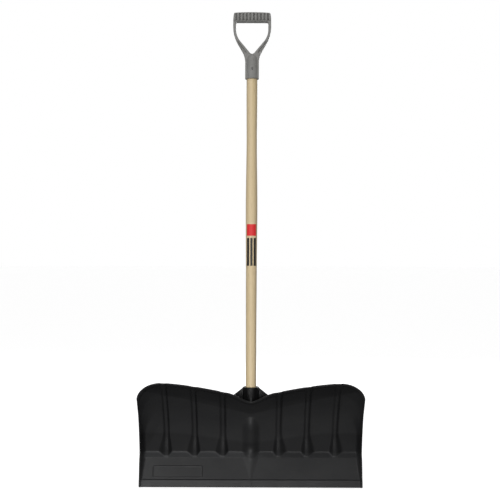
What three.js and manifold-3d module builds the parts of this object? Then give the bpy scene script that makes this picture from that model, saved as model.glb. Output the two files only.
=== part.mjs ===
// Snow shovel: a wide moulded poly blade with a socket, a turned wood handle and a moulded D-grip.
// Millimetres, +Z up along the handle, -Y to the front (the scooping side), +X to the user's right.
// The shovel stands on its blade edge at z = 0. Everything is built about the handle's axis, and the
// last lines move it so that the origin lies at the bottom centre of the whole shovel's box.

import * as THREE from "three";
import { mergeVertices } from "three/addons/utils/BufferGeometryUtils.js";
import Module from "manifold-3d";

const wasm = await Module();
wasm.setup();

// ---------------------------------------------------------------- driving dimensions

const FIT_GAP = 0.3; // clearance left where one piece sits in or on another

const BLADE = {
  width: 616, // overall, across the side flanges at the crease
  sheet: 4, // moulded wall
  edgeY: -34, // front face at the bottom edge
  lowerLean: 0.42, // how far the lower zone leans back per mm of height
  ledgeZ: 76, // foot of the bright ledge between lower zone and panels
  ledgeLean: 0.8,
  creaseZ: 90, // foot of the panels, the deepest line of the blade
  panelLean: 0.16, // how far the panels lean forward just above the crease
  curlTo: -112.6, // front face at the shoulders, where the curl ends
  bandHeight: 36, // the band under the rim that leans forward a little more
  bandLean: 0.15,
  shoulderZ: 294, // highest line of the top rim
  shoulderX: 236,
  notchDrop: 47.6, // the rim's long fall from the shoulders towards the handle
  notchPower: 1.45,
  notchRound: 8,
  veeDrop: 12, // the short, steeper V in the middle of that fall
  veeHalf: 62,
  cornerX: 238, // where the rim starts to round down to the sides
  cornerDrop: 52,
  topSpread: 2, // how far each side leans out between the crease and the curl
  spreadFrom: 150,
  spreadTo: 250,
  lipZ: 19, // height of the bevelled lip along the bottom edge
  lipProud: 3.2,
};

// The sides: a gentle facet beside the outer ribs, then a wall that turns forward to the edge.
const FLANGE = {
  wallWidthLow: 5, // at the bottom corners
  wallWidthCrease: 14,
  wallWidthTop: 52,
  wallDepthLow: 5,
  wallDepthCrease: 19,
  wallDepthTop: 17,
  creaseAt: 80, // height where the wall has its full corner depth
  openFrom: 140, // the wall opens into the broad upper curl between these heights
  openTo: 235,
  facetLean: 0.15,
  facetWidthLow: 14,
  facetWidthTop: 56,
  facetFrom: 85,
  facetTo: 190,
};

const RIB = {
  at: [76, 154, 232], // from the centre line, on both sides
  height: 8.5, // in the curl
  lowHeight: 6, // in the lower half of the panels
  fadeFrom: 190, // the height of a rib falls off between these heights
  fadeTo: 125,
  crestHalf: 2.5,
  innerHalf: 9,
  outerHalf: 11,
  innerFlare: 7, // how much wider each flank is at the foot
  outerFlare: 15,
  footHeight: 5,
  footTop: 150,
  rimFlare: 5,
  rimReach: 22,
};

const BEAD = { width: 7, blend: 3, height: 3.5 };

// The socket behind the blade, a round tube that closes in a long nose below the handle.
const SOCKET = {
  mouthZ: 272,
  mouthRadius: 23,
  footRadius: 20,
  footZ: 165, // the handle ends here
  noseZ: 66,
  noseSteps: 7,
  wideFrom: 200, // the tube's front reaches its full radius between these heights
  wideTo: 235,
  sides: 28,
  leadInRadius: 19,
  leadInDepth: 3,
};

// The long low bulge that covers the handle's foot on the blade's front, and runs down to a point.
const BULGE = {
  crestY: -18.6,
  proud: 11.5,
  pointZ: 22,
  half: 27,
  pointHalf: 4,
  halfFrom: 10, // it widens upwards between these heights
  halfTo: 100,
  topHalf: 15,
  topFrom: 160, // and narrows again between these
  topTo: 200,
  creaseRound: 20,
};

const WING = { thick: 5, topHalf: 22, kneeX: 55, kneeZ: 244, tipX: 110, tipZ: 162, footZ: 150 };
const WEB = { thick: 5, topZ: 262, rimY: -62, rimZ: 226, footZ: 185 };

const HANDLE = {
  bottomZ: 165,
  topZ: 1181,
  chamfer: 2,
  // radius of the turned wood against height: a slender foot, a swell in the middle, a neck, a head
  radii: [
    [165, 14.2],
    [380, 14.3],
    [567, 14.9],
    [765, 16.1],
    [955, 14.3],
    [1078, 15],
    [1181, 15],
  ],
  sides: 32,
  rings: 14,
};

const GRIP = {
  topZ: 1307,
  depth: 24, // of the arms, front to back
  barDepth: 31,
  barBottomZ: 1281,
  barLowRound: 9,
  barRound: 12,
  halfWidth: 52.4,
  socketRadius: 19,
  socketBottomZ: 1123.5,
  slots: 10,
  slotPitch: 9.7,
  slotWidth: 3.8,
  slotWeb: 15, // the solid middle web between front and back slots
  slotBottomZ: 1284,
  slotTopZ: 1303.5,
  channelDepth: 3.5,
};

const SCREW = {
  shankRadius: 2.2,
  shankLength: 16,
  gripHeadRadius: 3.4,
  socketHeadRadius: 4.6,
  headHeight: 2.4,
  recessRadius: 1.5,
  recessDepth: 1.3,
  gripZ: 1150,
  socketZ: 236,
  bossRadius: 8,
  bossY: 26, // the flat seat of the socket screw, behind the handle
  gripSeatY: -17.4,
};

// ---------------------------------------------------------------- helpers

function smooth(from, to, value) {
  const t = Math.min(1, Math.max(0, (value - from) / (to - from)));
  return t * t * (3 - 2 * t);
}

function mix(a, b, share) {
  return a + (b - a) * share;
}

// The smaller of two depths, with a fillet of about r where they meet.
function softMin(a, b, r) {
  const near = Math.max(0, r - Math.abs(a - b)) / r;
  return Math.min(a, b) - (near * near * r) / 4;
}

function toSolid(geometry, matrix = new THREE.Matrix4()) {
  const bare = geometry.clone();
  bare.deleteAttribute("normal");
  bare.deleteAttribute("uv");
  bare.applyMatrix4(matrix);
  const merged = mergeVertices(bare, 1e-4);
  return new wasm.Manifold(
    new wasm.Mesh({
      numProp: 3,
      vertProperties: new Float32Array(merged.attributes.position.array),
      triVerts: new Uint32Array(merged.index.array),
    }),
  );
}

function toGeometry(solid) {
  const mesh = solid.getMesh();
  const geometry = new THREE.BufferGeometry();
  geometry.setAttribute("position", new THREE.BufferAttribute(mesh.vertProperties, 3));
  geometry.setIndex(new THREE.BufferAttribute(mesh.triVerts, 1));
  const faceted = geometry.toNonIndexed();
  faceted.computeVertexNormals();
  return faceted;
}

const UPRIGHT = new THREE.Matrix4().makeRotationX(Math.PI / 2); // turns a lathe's or shape's Y into Z

// A solid turned about the Z axis from [radius, z] pairs, listed from the bottom to the top.
function turned(profile, sides) {
  const points = profile.map(([r, z]) => new THREE.Vector2(r, z));
  return toSolid(new THREE.LatheGeometry(points, sides), UPRIGHT);
}

function rod(radius, zFrom, zTo, sides) {
  return turned([[0, zFrom], [radius, zFrom], [radius, zTo], [0, zTo]], sides);
}

// A rod along Y at height z, from yFrom to yTo.
function crossRod(radius, yFrom, yTo, z, sides) {
  const geometry = new THREE.CylinderGeometry(radius, radius, yTo - yFrom, sides);
  return toSolid(geometry, new THREE.Matrix4().makeTranslation(0, (yFrom + yTo) / 2, z));
}

// A shape drawn in X and Z, given thickness along Y and centred on centreY.
function plate(shape, thick, centreY, curveSegments = 6) {
  const geometry = new THREE.ExtrudeGeometry(shape, {
    depth: thick,
    bevelEnabled: false,
    curveSegments,
  });
  const place = new THREE.Matrix4().makeTranslation(0, centreY + thick / 2, 0);
  return toSolid(geometry, place.multiply(UPRIGHT));
}

// A shape drawn in Y and Z, given thickness along X and centred on x = 0.
function sidePlate(shape, thick, curveSegments = 6) {
  const geometry = new THREE.ExtrudeGeometry(shape, {
    depth: thick,
    bevelEnabled: false,
    curveSegments,
  });
  const basis = new THREE.Matrix4().set(0, 0, 1, -thick / 2, 1, 0, 0, 0, 0, 1, 0, 0, 0, 0, 0, 1);
  return toSolid(geometry, basis);
}

function box(xFrom, xTo, yFrom, yTo, zFrom, zTo) {
  const geometry = new THREE.BoxGeometry(xTo - xFrom, yTo - yFrom, zTo - zFrom);
  const place = new THREE.Matrix4();
  place.makeTranslation((xFrom + xTo) / 2, (yFrom + yTo) / 2, (zFrom + zTo) / 2);
  return toSolid(geometry, place);
}

function polygon(points) {
  return new THREE.Shape(points.map(([a, b]) => new THREE.Vector2(a, b)));
}

// A closed solid from two equal grids of points: the front face and the back face.
function gridSolid(front, back) {
  const rows = front.length;
  const columns = front[0].length;
  const points = [...front.flat(), ...back.flat()];
  const triangles = [];
  const frontAt = (row, column) => row * columns + column;
  const backAt = (row, column) => rows * columns + frontAt(row, column);
  const quad = (a, b, c, d) => triangles.push(a, b, c, a, c, d);
  for (let r = 0; r + 1 < rows; r++) {
    for (let c = 0; c + 1 < columns; c++) {
      quad(frontAt(r, c), frontAt(r, c + 1), frontAt(r + 1, c + 1), frontAt(r + 1, c));
      quad(backAt(r, c), backAt(r + 1, c), backAt(r + 1, c + 1), backAt(r, c + 1));
    }
  }
  for (let c = 0; c + 1 < columns; c++) {
    quad(backAt(0, c), backAt(0, c + 1), frontAt(0, c + 1), frontAt(0, c));
    quad(frontAt(rows - 1, c), frontAt(rows - 1, c + 1), backAt(rows - 1, c + 1), backAt(rows - 1, c));
  }
  for (let r = 0; r + 1 < rows; r++) {
    quad(frontAt(r, 0), frontAt(r + 1, 0), backAt(r + 1, 0), backAt(r, 0));
    const last = columns - 1;
    quad(backAt(r, last), backAt(r + 1, last), frontAt(r + 1, last), frontAt(r, last));
  }
  const geometry = new THREE.BufferGeometry();
  geometry.setAttribute("position", new THREE.Float32BufferAttribute(points.flat(), 3));
  geometry.setIndex(triangles);
  return toSolid(geometry);
}

// A closed solid through equal rings of points, listed upwards, each ring counter-clockwise from above.
function loftSolid(rings) {
  const sides = rings[0].length;
  const points = rings.flat();
  const triangles = [];
  const at = (ring, i) => ring * sides + (i % sides);
  for (let ring = 0; ring + 1 < rings.length; ring++) {
    for (let i = 0; i < sides; i++) {
      triangles.push(at(ring, i), at(ring, i + 1), at(ring + 1, i + 1));
      triangles.push(at(ring, i), at(ring + 1, i + 1), at(ring + 1, i));
    }
  }
  const top = rings.length - 1;
  for (let i = 1; i + 1 < sides; i++) {
    triangles.push(at(0, 0), at(0, i + 1), at(0, i));
    triangles.push(at(top, 0), at(top, i), at(top, i + 1));
  }
  const geometry = new THREE.BufferGeometry();
  geometry.setAttribute("position", new THREE.Float32BufferAttribute(points.flat(), 3));
  geometry.setIndex(triangles);
  return toSolid(geometry);
}

// ---------------------------------------------------------------- the blade's surface

const FACE_X = BLADE.width / 2 - BLADE.sheet; // the front face ends here, inside the flange wall
const CURL = curlFactor();

function curlFactor() {
  const rise = BLADE.shoulderZ - BLADE.creaseZ;
  return (creaseY() - BLADE.panelLean * rise - BLADE.curlTo) / rise ** 3;
}

function creaseY() {
  return lowerFace(BLADE.creaseZ);
}

// Depth of the lower zone, which leans back, with the steeper ledge above it.
function lowerFace(z) {
  const aboveLedge = Math.max(0, z - BLADE.ledgeZ);
  return BLADE.edgeY + BLADE.lowerLean * z + (BLADE.ledgeLean - BLADE.lowerLean) * aboveLedge;
}

// Depth of the panels, which lean forward and curl more and more towards the rim.
function upperFace(z) {
  const rise = z - BLADE.creaseZ;
  return creaseY() - BLADE.panelLean * rise - CURL * rise ** 3;
}

// Height of the top rim: a shallow V over the handle, flat shoulders and rounded corners.
function rimZ(x) {
  const fromCentre = Math.hypot(x, BLADE.notchRound);
  const dip = Math.max(0, 1 - fromCentre / BLADE.shoulderX) ** BLADE.notchPower;
  const vee = BLADE.veeDrop * (1 - smooth(0, BLADE.veeHalf, Math.abs(x)));
  const corner = Math.min(1, Math.max(0, (Math.abs(x) - BLADE.cornerX) / (FACE_X - BLADE.cornerX)));
  const cornerFall = BLADE.cornerDrop * (1 - Math.sqrt(1 - corner * corner));
  return BLADE.shoulderZ - BLADE.notchDrop * dip - vee - cornerFall;
}

function ribRelief(x, z, toRim) {
  const foot = 1 - smooth(BLADE.creaseZ, RIB.footTop, z);
  const rimFlare = RIB.rimFlare * (1 - smooth(0, RIB.rimReach, toRim));
  const inner = RIB.innerHalf + RIB.innerFlare * foot + rimFlare;
  const outer = RIB.outerHalf + RIB.outerFlare * foot + rimFlare;
  const above = mix(RIB.lowHeight, RIB.height, smooth(RIB.fadeTo, RIB.fadeFrom, z));
  const height = above + RIB.footHeight * foot;
  const reliefs = RIB.at.map((at) => {
    const off = Math.abs(x) - at;
    return height * (1 - smooth(RIB.crestHalf, off < 0 ? inner : outer, Math.abs(off)));
  });
  return Math.max(...reliefs);
}

function beadRelief(toRim) {
  return BEAD.height * (1 - smooth(BEAD.width, BEAD.width + BEAD.blend, toRim));
}

// How far the side of the blade stands forward of the panels.
function flangeDepth(x, z) {
  const low = smooth(0, FLANGE.creaseAt, z);
  const high = smooth(FLANGE.openFrom, FLANGE.openTo, z);
  const width = mix(mix(FLANGE.wallWidthLow, FLANGE.wallWidthCrease, low), FLANGE.wallWidthTop, high);
  const depth = mix(mix(FLANGE.wallDepthLow, FLANGE.wallDepthCrease, low), FLANGE.wallDepthTop, high);
  const into = Math.max(0, (Math.abs(x) - FACE_X + width) / width);
  const facetShare = smooth(FLANGE.facetFrom, FLANGE.facetTo, z);
  const facetWidth = mix(FLANGE.facetWidthLow, FLANGE.facetWidthTop, facetShare);
  const onFacet = Math.max(0, Math.abs(x) - FACE_X + facetWidth);
  const facet = FLANGE.facetLean * onFacet * smooth(BLADE.ledgeZ, BLADE.creaseZ, z);
  return depth * into * into + facet;
}

// Where a column of the blade stands at height z: the sides lean out a little under the curl.
function spreadX(x, z) {
  const lean = smooth(BLADE.spreadFrom, BLADE.spreadTo, z);
  return x * (1 + (BLADE.topSpread / FACE_X) * lean);
}

function lipRelief(z) {
  const onLip = Math.min(1, z / BLADE.lipZ);
  return BLADE.lipProud * onLip * (1 - smooth(BLADE.lipZ, BLADE.lipZ + 2, z));
}

function panelY(x, z) {
  const slope = rimZ(Math.abs(x) + 0.5) - rimZ(Math.abs(x) - 0.5);
  const toRim = Math.max(0, rimZ(x) - z) / Math.hypot(1, slope);
  const band = BLADE.bandLean * Math.max(0, BLADE.bandHeight - toRim);
  const relief = Math.max(ribRelief(x, z, toRim), beadRelief(toRim)) + band;
  return softMin(lowerFace(z), upperFace(z) - relief, 3) - flangeDepth(x, z);
}

// Depth of the bulge's crest on the centre line.
function bulgeCrest(z) {
  const lowPart = BULGE.proud * smooth(BULGE.pointZ, SOCKET.footZ, z);
  const proud = Math.max(0, softMin(lowPart, upperFace(z) - BULGE.crestY, 4));
  return softMin(lowerFace(z), upperFace(z), BULGE.creaseRound) - proud;
}

function bulgeRelief(x, z) {
  const low = mix(BULGE.pointHalf, BULGE.half, smooth(BULGE.halfFrom, BULGE.halfTo, z));
  const half = mix(low, BULGE.topHalf, smooth(BULGE.topFrom, BULGE.topTo, z));
  const across = Math.min(1, Math.abs(x) / half);
  const share = (1 - across ** 2) ** 2;
  return share * Math.max(0, panelY(x, z) - bulgeCrest(z));
}

function frontY(x, z) {
  return panelY(x, z) - lipRelief(z) - bulgeRelief(x, z);
}

// The unit normal of the blade's back, without its ribs, so that the wall keeps its thickness.
function backNormal(x, z) {
  const base = (px, pz) => softMin(lowerFace(pz), upperFace(pz), 3) - flangeDepth(px, pz);
  const dx = base(x + 0.5, z) - base(x - 0.5, z);
  const dz = base(x, z + 0.5) - base(x, z - 0.5);
  return new THREE.Vector3(-dx, 1, -dz).normalize();
}

// ---------------------------------------------------------------- the blade's grid

function columnPositions() {
  const half = [7, 14, 21, 28, 35, 42, 49];
  for (const at of RIB.at) {
    const inner = at - RIB.innerHalf;
    const outer = at + RIB.outerHalf;
    half.push(inner - RIB.innerFlare, inner, at - RIB.crestHalf, at + RIB.crestHalf, outer);
    half.push(outer + RIB.outerFlare / 2, outer + RIB.outerFlare);
  }
  half.push(276, 284, 289, 293, 296.5, 299, FACE_X);
  return [...half.map((x) => -x).reverse(), 0, ...half];
}

// Heights of the grid's rows in one column, from the bottom edge to the rim.
function rowHeights(x) {
  const lower = [0, 10, BLADE.lipZ, BLADE.lipZ + 2, 40, 58, BLADE.ledgeZ, 80, 85, BLADE.creaseZ, 96, 104];
  const upper = [0.1, 0.24, 0.4, 0.56, 0.72, 0.86];
  const rim = rimZ(x);
  const bandEnd = rim - BLADE.bandHeight;
  const beadEnd = rim - BEAD.width - BEAD.blend;
  const start = lower.at(-1);
  const between = upper.map((share) => mix(start, bandEnd, share));
  return [...lower, ...between, bandEnd, mix(bandEnd, beadEnd, 0.5), beadEnd, rim - BEAD.width, rim];
}

function bladeSheet() {
  const columns = columnPositions();
  const rows = rowHeights(0).length;
  const front = [];
  const back = [];
  for (let r = 0; r < rows; r++) {
    front.push(
      columns.map((x) => {
        const z = rowHeights(x)[r];
        return [spreadX(x, z), frontY(x, z), z];
      }),
    );
    back.push(
      columns.map((x) => {
        const z = rowHeights(x)[r];
        const out = backNormal(x, z);
        const y = panelY(x, z);
        const side = spreadX(x, z) + BLADE.sheet * out.x;
        if (r === 0) return [side, y + BLADE.sheet / out.y, 0];
        return [side, y + BLADE.sheet * out.y, z + BLADE.sheet * out.z];
      }),
    );
  }
  return gridSolid(front, back);
}

// Everything in front of the middle of the blade's wall, used to trim what is built behind it.
function spaceInFront() {
  const reach = 140;
  const far = -400;
  const columns = columnPositions().filter((x) => Math.abs(x) <= reach);
  const heights = [];
  for (let z = WING.footZ - 20; z <= BLADE.shoulderZ + 10; z += 16) heights.push(z);
  const behind = heights.map((z) => columns.map((x) => [x, panelY(x, z) + BLADE.sheet / 2, z]));
  const front = heights.map((z) => columns.map((x) => [x, far, z]));
  return gridSolid(front, behind);
}

// ---------------------------------------------------------------- sub-parts

// The socket's outside, as ellipses given by their height, half width, front and back. Its front
// stays inside the wall of the bulge.
function socketSections() {
  const wall = BLADE.sheet / 2 + 0.5;
  const foot = SOCKET.footRadius;
  const mouth = SOCKET.mouthRadius;
  const backAtNose = lowerFace(SOCKET.noseZ) + BLADE.sheet;
  const sections = [];
  for (let i = 0; i <= SOCKET.noseSteps; i++) {
    const taper = 1 - i / SOCKET.noseSteps;
    const z = mix(SOCKET.footZ, SOCKET.noseZ, taper);
    sections.push({
      z,
      half: Math.max(0.5, foot * (1 - taper ** 1.5)),
      front: bulgeCrest(z) + wall,
      back: mix(foot, backAtNose, taper),
    });
  }
  const round = (z, r, front) => sections.push({ z, half: r, front, back: r });
  const radiusAt = (z) => mix(foot, mouth, (z - SOCKET.footZ) / (SOCKET.mouthZ - SOCKET.footZ));
  round(SOCKET.wideFrom, radiusAt(SOCKET.wideFrom), BULGE.crestY + wall);
  round(SOCKET.wideTo, radiusAt(SOCKET.wideTo), -mouth);
  round(SOCKET.mouthZ - 1.5, mouth, -mouth);
  round(SOCKET.mouthZ, mouth - 1.5, -mouth + 1.5);
  return sections;
}

function socketTube() {
  const rings = socketSections().map(({ z, half, front, back }) => {
    const ring = [];
    for (let i = 0; i < SOCKET.sides; i++) {
      const angle = (2 * Math.PI * i) / SOCKET.sides;
      const y = (front + back) / 2 + ((back - front) / 2) * Math.sin(angle);
      ring.push([half * Math.cos(angle), y, z]);
    }
    return ring;
  });
  return loftSolid(rings);
}

function sideWings() {
  const half = [
    [WING.topHalf, SOCKET.mouthZ - 2],
    [WING.kneeX, WING.kneeZ],
    [WING.tipX, WING.tipZ],
    [WING.tipX, WING.footZ],
  ];
  const mirrored = half.map(([x, z]) => [-x, z]).reverse();
  return plate(polygon([...half, ...mirrored]), WING.thick, 0);
}

// The upright web between the tube and the forward-leaning blade under the rim's V.
function middleWeb() {
  const inTube = -10;
  const outline = [
    [inTube, WEB.footZ],
    [inTube, WEB.topZ],
    [-SOCKET.mouthRadius, WEB.topZ],
    [WEB.rimY, WEB.rimZ],
    [WEB.rimY, WEB.footZ],
  ];
  return sidePlate(polygon(outline), WEB.thick);
}

function blade() {
  const boss = crossRod(SCREW.bossRadius, 0, SCREW.bossY, SCREW.socketZ, 24);
  const gussets = sideWings().add(middleWeb()).subtract(spaceInFront());
  const boreRadius = handleRadius(HANDLE.bottomZ) + FIT_GAP;
  const bore = rod(boreRadius, HANDLE.bottomZ - FIT_GAP, SOCKET.mouthZ + 10, HANDLE.sides);
  const leadIn = rod(SOCKET.leadInRadius, SOCKET.mouthZ - SOCKET.leadInDepth, SOCKET.mouthZ + 10, 40);
  const hole = crossRod(SCREW.shankRadius + FIT_GAP, 5, SCREW.bossY + 10, SCREW.socketZ, 16);
  const moulding = bladeSheet().add(gussets).add(socketTube()).add(boss);
  return moulding.subtract(bore).subtract(leadIn).subtract(hole);
}

function handleRadius(z) {
  const { radii } = HANDLE;
  const i = Math.max(1, radii.findIndex(([at]) => at >= z));
  const [fromZ, from] = radii[i - 1];
  const [toZ, to] = radii[i];
  return mix(from, to, smooth(fromZ, toZ, z));
}

function handle() {
  const foot = HANDLE.bottomZ;
  const head = HANDLE.topZ;
  const profile = [[0, foot], [handleRadius(foot) - HANDLE.chamfer, foot]];
  for (let i = 0; i <= HANDLE.rings; i++) {
    const z = mix(foot + HANDLE.chamfer, head - HANDLE.chamfer, i / HANDLE.rings);
    profile.push([handleRadius(z), z]);
  }
  profile.push([handleRadius(head) - HANDLE.chamfer, head], [0, head]);
  const holeRadius = SCREW.shankRadius + FIT_GAP;
  const depth = SCREW.shankLength + FIT_GAP;
  const socketHole = crossRod(holeRadius, SCREW.bossY - depth, 30, SCREW.socketZ, 16);
  const gripHole = crossRod(holeRadius, -30, SCREW.gripSeatY + depth, SCREW.gripZ, 16);
  return turned(profile, HANDLE.sides).subtract(socketHole).subtract(gripHole);
}

function gripOutline() {
  const { topZ, socketBottomZ, socketRadius, halfWidth } = GRIP;
  const corner = 2;
  const shape = new THREE.Shape();
  shape.moveTo(0, topZ);
  shape.quadraticCurveTo(28, topZ, 47, topZ - 1.6);
  shape.quadraticCurveTo(50.3, topZ - 2.2, 50.8, topZ - 6);
  shape.lineTo(halfWidth, topZ - 25);
  shape.lineTo(halfWidth, topZ - 43);
  shape.bezierCurveTo(51.6, topZ - 62, 44, topZ - 79, 33.5, topZ - 95.5);
  shape.lineTo(26.2, topZ - 108.3);
  shape.quadraticCurveTo(20.3, topZ - 118.5, socketRadius, topZ - 133);
  shape.lineTo(socketRadius, socketBottomZ + corner);
  shape.lineTo(socketRadius - corner, socketBottomZ);
  shape.lineTo(0, socketBottomZ);
  return mirroredShape(shape);
}

// The hand opening: flat under the bar, wide at the arms, running down to a rounded point.
function openingOutline() {
  const bar = GRIP.barBottomZ;
  const top = GRIP.topZ;
  const half = 44.8;
  const shape = new THREE.Shape();
  shape.moveTo(0, bar);
  shape.lineTo(half - 4, bar);
  shape.quadraticCurveTo(half, bar, half, bar - 4);
  shape.lineTo(half, top - 43.5);
  shape.bezierCurveTo(half, top - 58.5, 41, top - 69.5, 34, top - 78.5);
  shape.lineTo(6.4, top - 111.5);
  shape.quadraticCurveTo(3, top - 115, 0, top - 115);
  return mirroredShape(shape);
}

// Completes a right half, drawn clockwise from the top of the centre line, with its left half.
function mirroredShape(half) {
  const right = half.getPoints(5);
  const left = right.slice(1, -1).map((p) => new THREE.Vector2(-p.x, p.y));
  return new THREE.Shape([...right, ...left.reverse()]);
}

// One recess on an arm's face, between the arm's inner and outer walls.
function channelOutline(side) {
  const top = GRIP.topZ;
  const shape = new THREE.Shape();
  shape.moveTo(side * 42.5, top - 76);
  shape.lineTo(side * 39.5, top - 79);
  shape.lineTo(side * 13.5, top - 112);
  shape.lineTo(side * 20, top - 112);
  shape.lineTo(side * 32.5, top - 92);
  return shape;
}

function gripBar() {
  const halfDepth = GRIP.barDepth / 2;
  const { topZ, barBottomZ, barRound } = GRIP;
  const low = GRIP.barLowRound;
  const section = new THREE.Shape();
  section.moveTo(-halfDepth + low, barBottomZ);
  section.lineTo(halfDepth - low, barBottomZ);
  section.quadraticCurveTo(halfDepth, barBottomZ, halfDepth, barBottomZ + low);
  section.lineTo(halfDepth, topZ - barRound - 1);
  section.quadraticCurveTo(halfDepth, topZ - 1, 0, topZ);
  section.quadraticCurveTo(-halfDepth, topZ - 1, -halfDepth, topZ - barRound - 1);
  section.lineTo(-halfDepth, barBottomZ + low);
  section.quadraticCurveTo(-halfDepth, barBottomZ, -halfDepth + low, barBottomZ);
  return sidePlate(section, 2 * GRIP.halfWidth + 10, 5);
}

function dGrip() {
  const outline = plate(gripOutline(), 60, 0);
  const opening = plate(openingOutline(), 60, 0);
  const arms = plate(gripOutline(), GRIP.depth, 0);
  const neckTop = GRIP.topZ - 119.5;
  const neck = turned(
    [
      [0, GRIP.socketBottomZ],
      [GRIP.socketRadius - 2, GRIP.socketBottomZ],
      [GRIP.socketRadius, GRIP.socketBottomZ + 2],
      [GRIP.socketRadius, neckTop - 14],
      [12, neckTop + 4],
      [0, neckTop + 4],
    ],
    HANDLE.sides,
  );
  let grip = gripBar().intersect(outline).add(arms).add(neck).subtract(opening);
  for (let i = 0; i < GRIP.slots; i++) {
    const x = (i - (GRIP.slots - 1) / 2) * GRIP.slotPitch;
    const half = GRIP.slotWidth / 2;
    for (const [yFrom, yTo] of [[-30, -GRIP.slotWeb / 2], [GRIP.slotWeb / 2, 30]]) {
      grip = grip.subtract(box(x - half, x + half, yFrom, yTo, GRIP.slotBottomZ, GRIP.slotTopZ));
    }
  }
  for (const side of [-1, 1]) {
    for (const face of [-1, 1]) {
      const middle = face * (GRIP.depth / 2);
      grip = grip.subtract(plate(channelOutline(side), 2 * GRIP.channelDepth, middle));
    }
  }
  const boreRadius = handleRadius(HANDLE.topZ) + FIT_GAP;
  const bore = rod(boreRadius, GRIP.socketBottomZ - 10, HANDLE.topZ + FIT_GAP, HANDLE.sides);
  const seat = crossRod(SCREW.gripHeadRadius + FIT_GAP, -30, SCREW.gripSeatY, SCREW.gripZ, 24);
  const hole = crossRod(SCREW.shankRadius + FIT_GAP, -30, -5, SCREW.gripZ, 16);
  return grip.subtract(bore).subtract(seat).subtract(hole);
}

// A pan-head wood screw along Y, its head seated at seatY; out is -1 for a head that faces forward.
function screw(headRadius, seatY, z, out) {
  const under = seatY + out * FIT_GAP;
  const domeY = under + out * SCREW.headHeight;
  const tip = seatY - out * SCREW.shankLength;
  const profile = [
    [0, tip],
    [SCREW.shankRadius * 0.4, tip + out * 1],
    [SCREW.shankRadius, tip + out * 4],
    [SCREW.shankRadius, under],
    [headRadius, under],
    [headRadius, under + out * SCREW.headHeight * 0.4],
    [headRadius * 0.8, under + out * SCREW.headHeight * 0.85],
    [SCREW.recessRadius * 1.4, domeY],
    [SCREW.recessRadius, domeY],
    [SCREW.recessRadius * 0.6, domeY - out * SCREW.recessDepth],
    [0, domeY - out * SCREW.recessDepth],
  ];
  const points = profile.map(([r, y]) => new THREE.Vector2(r, y));
  if (out < 0) points.reverse();
  const geometry = new THREE.LatheGeometry(points, 16);
  return toSolid(geometry, new THREE.Matrix4().makeTranslation(0, 0, z));
}

function gripScrew() {
  return screw(SCREW.gripHeadRadius, SCREW.gripSeatY, SCREW.gripZ, -1);
}

function socketScrew() {
  return screw(SCREW.socketHeadRadius, SCREW.bossY, SCREW.socketZ, 1);
}

// ---------------------------------------------------------------- the assembly

const MATERIALS = {
  poly: new THREE.MeshStandardMaterial({ color: 0x26272a, roughness: 0.42, metalness: 0 }),
  wood: new THREE.MeshStandardMaterial({ color: 0xd9c199, roughness: 0.55, metalness: 0 }),
  grip: new THREE.MeshStandardMaterial({ color: 0x87857f, roughness: 0.5, metalness: 0 }),
  steel: new THREE.MeshStandardMaterial({ color: 0x4a4a4c, roughness: 0.4, metalness: 1 }),
};

function piece(name, solid, material) {
  const mesh = new THREE.Mesh(toGeometry(solid), material);
  mesh.name = name;
  return mesh;
}

const shovel = new THREE.Group();
shovel.add(
  piece("blade", blade(), MATERIALS.poly),
  piece("handle", handle(), MATERIALS.wood),
  piece("d_grip", dGrip(), MATERIALS.grip),
  piece("grip_screw", gripScrew(), MATERIALS.steel),
  piece("socket_screw", socketScrew(), MATERIALS.steel),
);

// The origin goes to the bottom centre of the box: only the depth is off centre so far.
const extent = new THREE.Box3().setFromObject(shovel);
shovel.position.y = -(extent.min.y + extent.max.y) / 2;

export default shovel;
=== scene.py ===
"""Snow shovel: the fine visual model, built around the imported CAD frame.

Lengths in the blade, grip, handle and screw sections are millimetres about the handle's axis, as
the CAD source has them: +X right, -Y front, +Z up. to_frame() turns them into frame metres.
"""

import math

import bmesh
import bpy
import numpy as np
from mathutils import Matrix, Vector


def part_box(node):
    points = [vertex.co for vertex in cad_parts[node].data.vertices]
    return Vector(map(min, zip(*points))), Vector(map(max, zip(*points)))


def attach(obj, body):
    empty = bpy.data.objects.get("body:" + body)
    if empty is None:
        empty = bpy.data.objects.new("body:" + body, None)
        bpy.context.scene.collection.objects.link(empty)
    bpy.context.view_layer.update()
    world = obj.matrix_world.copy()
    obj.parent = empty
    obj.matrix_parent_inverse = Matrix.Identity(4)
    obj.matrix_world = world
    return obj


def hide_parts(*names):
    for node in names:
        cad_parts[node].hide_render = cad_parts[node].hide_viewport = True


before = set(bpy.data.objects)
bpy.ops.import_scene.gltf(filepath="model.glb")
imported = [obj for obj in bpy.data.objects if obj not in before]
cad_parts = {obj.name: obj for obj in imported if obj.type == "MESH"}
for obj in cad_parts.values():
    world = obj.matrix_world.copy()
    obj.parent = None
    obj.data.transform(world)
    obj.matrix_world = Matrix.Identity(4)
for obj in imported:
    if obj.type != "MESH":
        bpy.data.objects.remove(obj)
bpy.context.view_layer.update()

BODY = "root"
MM = 0.001

# ------------------------------------------------------------------ places read from the frame


def centre_of(node):
    low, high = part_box(node)
    return (low + high) / 2


AXIS_Y = centre_of("handle").y  # the handle's axis, in metres
HANDLE_LOW, HANDLE_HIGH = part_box("handle")
GRIP_LOW, GRIP_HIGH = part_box("d_grip")
HANDLE_BOTTOM = HANDLE_LOW.z / MM
HANDLE_TOP = HANDLE_HIGH.z / MM
GRIP_BOTTOM = GRIP_LOW.z / MM
GRIP_TOP = GRIP_HIGH.z / MM
GRIP_SCREW_Z = centre_of("grip_screw").z / MM
SOCKET_SCREW_Z = centre_of("socket_screw").z / MM


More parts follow.
